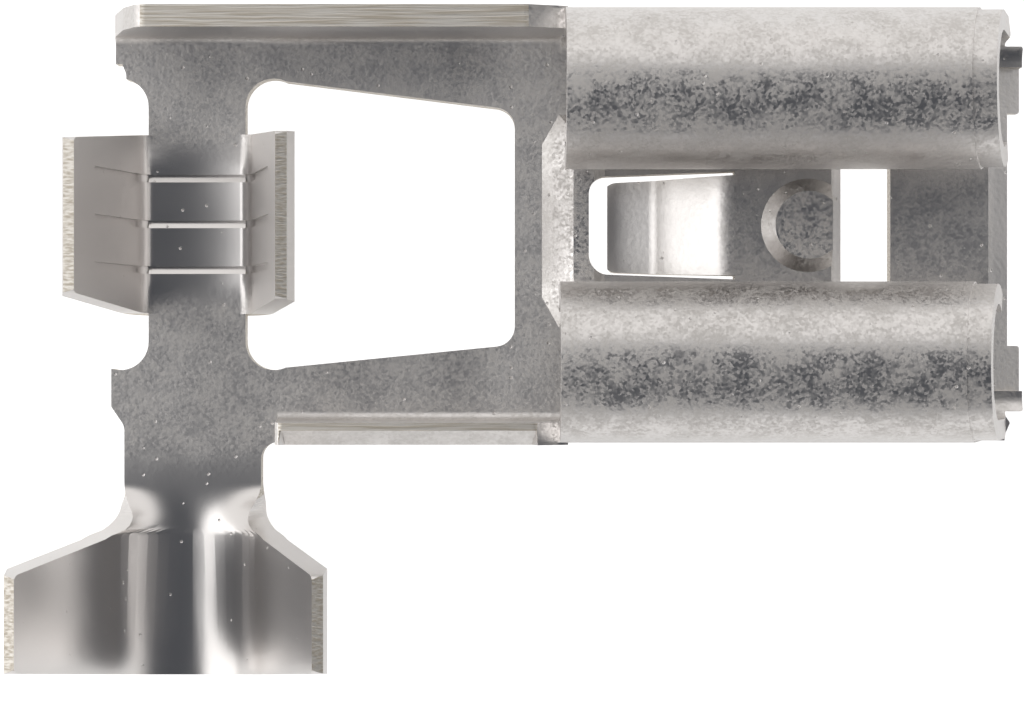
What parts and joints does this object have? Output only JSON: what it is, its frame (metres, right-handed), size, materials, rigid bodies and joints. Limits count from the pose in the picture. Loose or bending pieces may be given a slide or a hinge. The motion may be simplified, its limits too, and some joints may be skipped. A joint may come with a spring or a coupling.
{
  "type": "female spade terminal",
  "caption": "Flag female spade terminal for a 6.3 mm tab: rolled receptacle, windowed flag body, open wire and insulation barrels at right angles, uncrimped.",
  "frame": {"origin": "middle of the receptacle's mouth, on the face of the floor that the tab slides on", "axes": "+X out of the mouth, along the tab; -Y the way the wire leaves; +Z the open side of the terminal, away from the sheet's underside"},
  "size_m": [0.0179, 0.0121, 0.0052],
  "materials": {
    "tinned_brass": "bright tin plate over rolled brass, bare brass at the sheared edges"
  },
  "bodies": {
    "root": {"terminal": "tinned_brass"}
  },
  "joints": []
}
